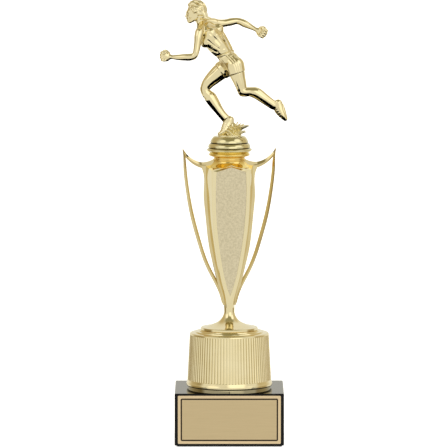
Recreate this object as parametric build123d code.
from build123d import *
import os
from math import atan, cos, pi, sin, sqrt

# Column trophy: a marble block with an engraving plate, a ribbed riser, a two-handled faceted column
# and a running figure on a stepped dome. One threaded rod clamps the stack from a nut held in the
# dome to a washer, a lock washer and a nut in a counterbore under the block.
# Millimetres, +Z up, origin at the centre of the felt's underside, figure running towards -X.

# base
FELT_T = 1.0
BLOCK_W, BLOCK_D, BLOCK_H = 87.0, 80.0, 41.6
BLOCK_EDGE = 0.5
FELT_INSET = 1.5
COUNTERBORE_R, COUNTERBORE_DEPTH = 12.0, 14.0
BLOCK_BORE_R = 4.0
PLATE_W, PLATE_H, PLATE_T, TAPE_T = 81.8, 38.5, 0.6, 0.2
PLATE_CORNER_R = 0.8
BLOCK_TOP = FELT_T + BLOCK_H
SEAT_Z = FELT_T + COUNTERBORE_DEPTH

# quarter-inch fastening
ROD_R, ROD_BOTTOM_Z, ROD_TOP_Z = 3.05, 3.2, 240.6
NUT_AF, NUT_H, NUT_BORE_R = 11.1, 5.6, 3.1
WASHER_R, WASHER_BORE_R, WASHER_T = 9.5, 3.5, 1.6
LOCK_R, LOCK_BORE_R, LOCK_T, LOCK_SPLIT = 6.2, 3.4, 1.6, 1.2
ROD_HOLE_R = 3.4

# riser
RIB_COUNT = 84
RIB_BULGE = 0.45
RIBS_Z0, RIBS_Z1 = 49.0, 85.4
RIBS_R0, RIBS_R1 = 33.2, 31.3
RISER_TOP = 89.1
RISER_BOSS_R = 6.5

# column
NECK_Z = 107.0
NECK_R = 4.3
ROOF_RISE, ROOF_APEX_Z = 0.257, 226.07
FACE_TOP_Z, FACE_TOP_D, FACE_LOW_D = 219.0, 13.5, 4.0
SHELL_WALL = 1.5
COLUMN_TURN = 6.5
HANDLE_T = 3.4
PANEL_RISE, PANEL_BEVEL = 0.9, 2.9
COLLAR_TOP = 232.1
# height, half-width of the front face, half-width at the seam between the shells
SECTIONS = [
    (NECK_Z, 2.6, 4.3),
    (118.0, 4.2, 5.8),
    (132.0, 7.8, 9.4),
    (151.6, 11.4, 13.7),
    (168.0, 13.6, 16.1),
    (184.0, 14.9, 17.7),
    (200.0, 15.4, 18.8),
    (228.0, 14.5, 18.9),
]

# dome
DOME_TOP = 244.8
RIM_R = 18.1


def save(name, shape):
    shape.label = name
    export_step(shape, f"parts/{name}.step")


def turned(points, curves=()):
    """A solid of revolution about Z from (radius, height) points; curves lists runs of them to smooth."""
    ends = dict(curves)
    lines = []
    i = 0
    while i < len(points) - 1:
        if i in ends:
            lines.append(Spline(*points[i : ends[i] + 1]))
            i = ends[i]
        else:
            lines.append(Line(points[i], points[i + 1]))
            i += 1
    lines.append(Line(points[-1], points[0]))
    profile = make_face(Curve() + lines)
    return revolve(Plane.XZ * profile, Axis.Z)


def tube(outer_r, inner_r, z0, z1):
    ring = Circle(outer_r) - Circle(inner_r)
    return extrude(Pos(0, 0, z0) * ring, z1 - z0)


def rod_hole(z0, z1):
    return extrude(Pos(0, 0, z0) * Circle(ROD_HOLE_R), z1 - z0)


def face_depth(z):
    """Distance of the column's flat front face from the axis at height z."""
    share = (z - NECK_Z) / (FACE_TOP_Z - NECK_Z)
    return FACE_LOW_D + share * (FACE_TOP_D - FACE_LOW_D)


# ---- base ----


def marble_block():
    block = Pos(0, 0, FELT_T + BLOCK_H / 2) * Box(BLOCK_W, BLOCK_D, BLOCK_H)
    block = chamfer(block.edges(), BLOCK_EDGE)
    block -= extrude(Pos(0, 0, FELT_T) * Circle(BLOCK_BORE_R), BLOCK_H)
    return block - extrude(Pos(0, 0, FELT_T) * Circle(COUNTERBORE_R), COUNTERBORE_DEPTH)


def felt_base():
    sheet = RectangleRounded(BLOCK_W - 2 * FELT_INSET, BLOCK_D - 2 * FELT_INSET, 2.0)
    return extrude(sheet - Circle(COUNTERBORE_R + 0.5), FELT_T)


def plate_sheet(y_front, thickness, inset):
    outline = RectangleRounded(PLATE_W - 2 * inset, PLATE_H - 2 * inset, PLATE_CORNER_R)
    centre = Plane(origin=(0, y_front, FELT_T + BLOCK_H / 2), x_dir=(1, 0, 0), z_dir=(0, -1, 0))
    return extrude(centre * outline, -thickness)


def hex_nut(z0, bore_r):
    blank = RegularPolygon(NUT_AF / 2, 6, major_radius=False)
    blank = extrude(Pos(0, 0, z0) * blank, NUT_H)
    corner_r = NUT_AF / sqrt(3)
    crown = turned(
        [
            (0, z0),
            (corner_r - 0.7, z0),
            (corner_r + 0.1, z0 + 0.45),
            (corner_r + 0.1, z0 + NUT_H - 0.45),
            (corner_r - 0.7, z0 + NUT_H),
            (0, z0 + NUT_H),
        ]
    )
    return (blank & crown) - extrude(Pos(0, 0, z0) * Circle(bore_r), NUT_H)


def lock_washer(z0):
    ring = tube(LOCK_R, LOCK_BORE_R, z0, z0 + LOCK_T)
    split = Pos(LOCK_R - 1.0, 0, z0 + LOCK_T / 2) * Rot(25, 0, 0) * Box(6.0, LOCK_SPLIT, 4 * LOCK_T)
    return ring - split


def tie_rod():
    rod = Pos(0, 0, (ROD_BOTTOM_Z + ROD_TOP_Z) / 2) * Cylinder(ROD_R, ROD_TOP_Z - ROD_BOTTOM_Z)
    return chamfer(rod.edges().filter_by(GeomType.CIRCLE), 0.5)


# ---- riser ----


def rib_ring(radius, z):
    """A ring outline of equal outward arcs, one for each rib."""
    step = 2 * pi / RIB_COUNT
    arcs = []
    for i in range(RIB_COUNT):
        a0, a1 = i * step, (i + 1) * step
        mid, crest = (a0 + a1) / 2, radius + RIB_BULGE
        arcs.append(
            ThreePointArc(
                (radius * cos(a0), radius * sin(a0)),
                (crest * cos(mid), crest * sin(mid)),
                (radius * cos(a1), radius * sin(a1)),
            )
        )
    return Pos(0, 0, z) * make_face(Curve() + arcs)


def ribbed_riser():
    body = turned(
        [
            (0, BLOCK_TOP),
            (32.9, BLOCK_TOP),
            (32.9, BLOCK_TOP + 1.3),
            (34.0, BLOCK_TOP + 1.7),
            (34.5, BLOCK_TOP + 2.5),
            (34.5, BLOCK_TOP + 3.6),
            (34.1, BLOCK_TOP + 4.8),
            (33.7, RIBS_Z0),
            (RIBS_R0 - 0.2, RIBS_Z0 + 0.6),
            (RIBS_R1 - 0.2, RIBS_Z1 - 0.4),
            (31.8, RIBS_Z1),
            (31.7, RIBS_Z1 + 0.9),
            (30.9, RIBS_Z1 + 1.5),
            (27.6, RIBS_Z1 + 1.9),
            (27.2, RIBS_Z1 + 2.7),
            (24.6, RIBS_Z1 + 2.9),
            (24.1, RISER_TOP),
            (0, RISER_TOP),
        ]
    )
    body += loft([rib_ring(RIBS_R0, RIBS_Z0), rib_ring(RIBS_R1, RIBS_Z1)], ruled=True)
    hollow = turned(
        [
            (RISER_BOSS_R, BLOCK_TOP),
            (31.2, BLOCK_TOP),
            (29.4, RIBS_Z1 - 0.6),
            (22.6, RISER_TOP - 2.2),
            (RISER_BOSS_R, RISER_TOP - 2.2),
        ]
    )
    return body - hollow - rod_hole(BLOCK_TOP, RISER_TOP)


# ---- column ----


def column_foot():
    foot = turned(
        [
            (0, RISER_TOP),
            (22.4, RISER_TOP),
            (22.8, RISER_TOP + 0.4),
            (22.8, RISER_TOP + 1.9),
            (22.3, RISER_TOP + 2.3),
            (20.4, RISER_TOP + 2.3),
            (18.6, RISER_TOP + 2.7),
            (13.2, 93.6),
            (8.8, 95.8),
            (5.7, 99.2),
            (4.2, 103.4),
            (NECK_R, NECK_Z),
            (0, NECK_Z),
        ],
        curves=[(5, 10)],
    )
    hollow = turned(
        [
            (5.2, RISER_TOP),
            (19.5, RISER_TOP),
            (12.0, RISER_TOP + 2.2),
            (5.2, RISER_TOP + 4.6),
        ]
    )
    return foot - hollow - rod_hole(RISER_TOP, NECK_Z)


def half_section(z, face_half, seam_half, depth):
    """The front half of the column's six-sided cross-section."""
    corners = [(-seam_half, 0), (-face_half, -depth), (face_half, -depth), (seam_half, 0)]
    outline = Polyline(*corners, close=True)
    return Pos(0, 0, z) * make_face(outline)


def roof_pyramid():
    """Everything under the four shallow roof planes, which give each face of the column its gable."""
    low, high = 60.0, ROOF_APEX_Z - 0.05
    squares = []
    for z in (low, high):
        side = (ROOF_APEX_Z - z) * sqrt(2) / ROOF_RISE
        squares.append(Pos(0, 0, z) * Rot(0, 0, 45) * Rectangle(side, side))
    return loft(squares, ruled=True)


def shell_blank():
    return loft([half_section(z, face, seam, face_depth(z)) for z, face, seam in SECTIONS])


def shell_hollow():
    """The shell's inner space, which runs a little past the seam plane so that it cuts cleanly."""
    rooms = []
    for z, face, seam in SECTIONS[2:-1] + [(216.0, 14.9, 18.9)]:
        depth = face_depth(z) - SHELL_WALL
        half_face, half_seam = face - SHELL_WALL + 0.3, seam - SHELL_WALL - 0.3
        outline = Polyline(
            (-half_seam, 1), (-half_seam, 0), (-half_face, -depth), (half_face, -depth), (half_seam, 0),
            (half_seam, 1), close=True
        )
        rooms.append(Pos(0, 0, z) * make_face(outline))
    return loft(rooms)


def column_shell():
    return (shell_blank() & roof_pyramid()) - shell_hollow() - rod_hole(NECK_Z, ROOF_APEX_Z)


def panel_outline(bevel, offset):
    """The shield on the front face: bevel narrows its sides, offset lifts it off the face."""
    slope = atan((FACE_TOP_D - FACE_LOW_D) / (FACE_TOP_Z - NECK_Z))
    top_trim = 0.5 + 0.25 * bevel

    def at(x, z):
        return (x, (z - NECK_Z) / cos(slope))

    sides = [(x - 0.5 - bevel, z) for z, x, _ in SECTIONS[2:-1]]
    corner = (14.3 - bevel, 218.4 - top_trim)
    tip = (0, 113.0 + 1.4 * bevel)
    right = [at(*tip)] + [at(x, z) for x, z in sides] + [at(*corner)]
    left = [(-x, s) for x, s in reversed(right)]
    peak = at(0, 222.2 - top_trim)
    edges = [Spline(*right), Line(right[-1], peak), Line(peak, left[0]), Spline(*left)]
    face_plane = Plane(
        origin=(0, -FACE_LOW_D, NECK_Z),
        x_dir=(1, 0, 0),
        z_dir=(0, -cos(slope), -sin(slope)),
    ).offset(offset)
    return face_plane * make_face(Curve() + edges)


def front_panel():
    return loft([panel_outline(0, 0), panel_outline(PANEL_BEVEL, PANEL_RISE)], ruled=True)


def collar():
    ring = turned(
        [
            (0, 218.0),
            (17.4, 220.0),
            (14.3, 222.4),
            (12.8, 224.2),
            (12.4, 225.2),
            (13.0, 225.5),
            (13.15, 226.0),
            (12.5, 226.6),
            (12.5, 227.6),
            (13.3, 228.5),
            (15.2, 228.9),
            (16.1, 229.4),
            (16.4, 230.2),
            (15.9, 231.1),
            (14.9, COLLAR_TOP),
            (0, COLLAR_TOP),
        ],
        curves=[(1, 4), (4, 7), (7, 10), (10, 14)],
    )
    hollow = tube(10.6, 5.2, 226.5, COLLAR_TOP)
    return ring - roof_pyramid() - hollow - rod_hole(218.0, COLLAR_TOP)


def ridged_bar(path, half_widths, thickness):
    """A six-sided bar along a path in the seam plane, with a raised ridge down its front and its back."""
    sections = []
    last = len(half_widths) - 1
    for i, half in enumerate(half_widths):
        u = i / last
        ridge = thickness / 2 * min(1, 0.3 + half / 2)
        edge = 0.3 * ridge
        outline = Polyline(
            (edge, half), (ridge, 0), (edge, -half), (-edge, -half), (-ridge, 0), (-edge, half), close=True
        )
        here = Plane(origin=path @ u, x_dir=(0, 1, 0), z_dir=path % u)
        sections.append(here * make_face(outline))
    return loft(sections)


def handle_strip():
    """The flat strip between the shells, with the web that carries the arm onto the collar."""
    outer = Spline(
        (22.4, 219.5), (20.6, 214.0), (20.6, 200.0), (19.5, 184.0), (17.9, 168.0),
        (15.5, 151.6), (13.0, 141.0), (10.2, 129.2), (6.6, 115.0), (5.2, 109.0)
    )
    inner = Spline(
        (3.8, 109.0), (8.4, 134.0), (12.3, 151.6), (14.7, 168.0), (16.3, 184.0), (17.4, 200.0),
        (17.1, 217.5)
    )
    root = Polyline((17.1, 217.5), (12.6, 219.0), (12.6, 226.4))
    crown = Spline((12.6, 226.4), (17.5, 224.4), (22.4, 223.9))
    ends = [Line((22.4, 223.9), (22.4, 219.5)), Line((5.2, 109.0), (3.8, 109.0))]
    outline = Plane.XZ * make_face(Curve() + [outer, inner, root, crown] + ends)
    return extrude(outline, HANDLE_T / 2 - 0.3, both=True)


def right_handle():
    """A slender pointed bow whose inner strip is held between the two shells."""
    bow = Spline(
        *[(x, 0, z) for x, z in [(37.3, 234.6), (36.1, 226.0), (35.4, 217.0), (33.6, 201.4), (29.4, 179.0),
                                 (23.1, 156.5), (17.2, 140.0), (11.6, 129.4), (7.2, 119.0), (4.9, 111.0)]]
    )
    arm = Spline(
        (37.3, 0, 234.6), (33.2, 0, 227.7), (28.6, 0, 224.2), (23.3, 0, 221.9), (18.6, 0, 221.4)
    )
    pieces = [
        handle_strip(),
        ridged_bar(arm, [0.3, 1.2, 1.6, 2.1, 2.6], HANDLE_T),
        ridged_bar(bow, [0.3, 1.2, 1.35, 1.45, 1.55, 1.55, 1.5, 1.5, 1.4, 1.2], HANDLE_T),
    ]
    return Part() + pieces - collar() - rod_hole(NECK_Z, 125.0)


def column_parts():
    shell = column_shell()
    right = right_handle()
    left = mirror(right, Plane.YZ)
    front_shell = shell - right - left
    rear_shell = mirror(front_shell, Plane.XZ)
    panel = front_panel()
    return {
        "column_foot": column_foot(),
        "column_front_shell": front_shell,
        "column_rear_shell": rear_shell,
        "front_panel": panel,
        "rear_panel": mirror(panel, Plane.XZ),
        "left_handle": left,
        "right_handle": right,
        "column_collar": collar(),
    }


# ---- dome and figure ----


def figure_dome():
    dome = turned(
        [
            (0, COLLAR_TOP),
            (16.3, COLLAR_TOP),
            (17.5, 233.0),
            (RIM_R, 233.8),
            (17.4, 234.7),
            (16.4, 235.4),
            (16.95, 236.0),
            (16.7, 237.2),
            (16.1, 238.3),
            (15.3, 239.1),
            (14.7, 239.3),
            (15.15, 239.9),
            (14.7, 241.5),
            (13.8, 243.1),
            (12.7, 244.3),
            (11.6, DOME_TOP),
            (0, DOME_TOP),
        ],
        curves=[(1, 5), (6, 9), (11, 15)],
    )
    hollow = tube(13.4, 8.4, COLLAR_TOP, 240.0)
    nut_pocket = extrude(Pos(0, 0, COLLAR_TOP) * RegularPolygon(NUT_AF / 2, 6, major_radius=False), 7.2)
    return dome - hollow - nut_pocket - rod_hole(COLLAR_TOP, 241.2)


# each chain is a run of (centre, radius) balls joined by tapering lengths
FIGURE_CHAINS = [
    # trunk, leaning forward
    [
        ((-15.5, 0, 325.0), 8.2), ((-11.4, 0, 318.0), 7.4),
        ((-4.5, 0, 309.5), 6.2), ((1.6, 0, 302.0), 8.4),
    ],
    # shoulders
    [((-20.5, -7.5, 327.2), 4.7), ((-12.0, 7.5, 332.0), 4.5)],
    # neck
    [((-20.0, 0.5, 329.5), 3.0), ((-24.5, 0, 338.5), 2.7)],
    # head
    [((-25.5, 0, 344.9), 7.6), ((-28.6, 0, 342.0), 5.4)],
    # near arm, bent forward
    [((-22.6, -9.5, 326.5), 3.6), ((-25.2, -12.0, 308.6), 3.0), ((-45.0, -9.0, 307.6), 2.2)],
    [((-46.6, -8.8, 307.8), 3.2), ((-51.4, -8.0, 308.6), 3.6)],
    # far arm, swung back
    [((-10.8, 9.0, 333.4), 3.4), ((7.4, 13.0, 336.4), 2.8), ((20.4, 11.5, 330.8), 2.1)],
    [((22.4, 11.3, 329.6), 3.0), ((27.6, 11.0, 327.4), 3.7)],
    # near leg, trailing
    [
        ((4.6, -4.6, 299.0), 8.0), ((9.6, -5.6, 280.6), 4.5),
        ((20.6, -5.4, 278.0), 4.3), ((38.0, -5.0, 270.2), 2.2),
    ],
    [((39.0, -5.0, 269.4), 2.8), ((43.8, -5.0, 260.6), 2.4)],
    # far leg, planted
    [
        ((-2.0, 4.6, 299.4), 7.6), ((-18.4, 4.4, 283.4), 4.7),
        ((-14.6, 3.8, 275.2), 4.5), ((-3.4, 1.6, 260.6), 2.3),
    ],
    [
        ((-2.6, 1.5, 260.0), 2.5), ((0.6, 1.1, 257.8), 2.8),
        ((-3.4, 0.2, 248.3), 3.0), ((-6.6, 0, 247.4), 2.0),
    ],
]


def taper_between(p, p_r, q, q_r):
    start, end = Vector(*p), Vector(*q)
    along = end - start
    return Plane(origin=(start + end) / 2, z_dir=along) * Cone(0.97 * p_r, 0.97 * q_r, along.length)


def runner_figure():
    pieces = []
    for chain in FIGURE_CHAINS:
        pieces += [Pos(*centre) * Sphere(radius) for centre, radius in chain]
        pieces += [taper_between(*one, *two) for one, two in zip(chain, chain[1:])]
    return Part() + pieces


def turf_support():
    """The low sod under the front foot, with blades of grass that lean away behind the heel."""
    turf = extrude(Pos(0.3, 0, DOME_TOP) * Ellipse(9.4, 6.4), 1.2, taper=20)
    turf += Pos(4.6, 0, DOME_TOP + 3.9) * Cone(5.0, 2.4, 7.8)
    rows = [
        (-50, 20, 10.5), (-20, 44, 11.0), (10, 30, 11.5), (35, 52, 10.0), (-35, 60, 9.0),
        (60, 24, 9.5), (0, 66, 10.5)
    ]
    for turn, lean, length in rows:
        blade = Pos(0, 0, length / 2) * Cone(1.7, 0.35, length)
        turf += Pos(4.6, 0, DOME_TOP + 2.4) * Rot(0, 0, turn) * Rot(0, lean, 0) * blade
    return turf & extrude(Pos(0, 0, DOME_TOP) * Circle(30), 30)


def main():
    os.makedirs("parts", exist_ok=True)
    plate_y = -BLOCK_D / 2 - TAPE_T - PLATE_T
    lock_z = SEAT_Z - WASHER_T - LOCK_T
    save("felt_base", felt_base())
    save("marble_block", marble_block())
    save("engraving_plate", plate_sheet(plate_y, PLATE_T, 0))
    save("plate_adhesive", plate_sheet(-BLOCK_D / 2 - TAPE_T, TAPE_T, 1.0))
    save("flat_washer", tube(WASHER_R, WASHER_BORE_R, SEAT_Z - WASHER_T, SEAT_Z))
    save("lock_washer", lock_washer(lock_z))
    save("hex_nut", hex_nut(lock_z - NUT_H, NUT_BORE_R))
    save("tie_rod", tie_rod())
    save("ribbed_riser", ribbed_riser())
    for name, shape in column_parts().items():
        save(name, Rot(0, 0, COLUMN_TURN) * shape)
    save("figure_dome", figure_dome())
    save("captive_nut", hex_nut(COLLAR_TOP + 7.2 - NUT_H, ROD_R))
    save("runner_figure", runner_figure())
    save("turf_support", turf_support())


main()
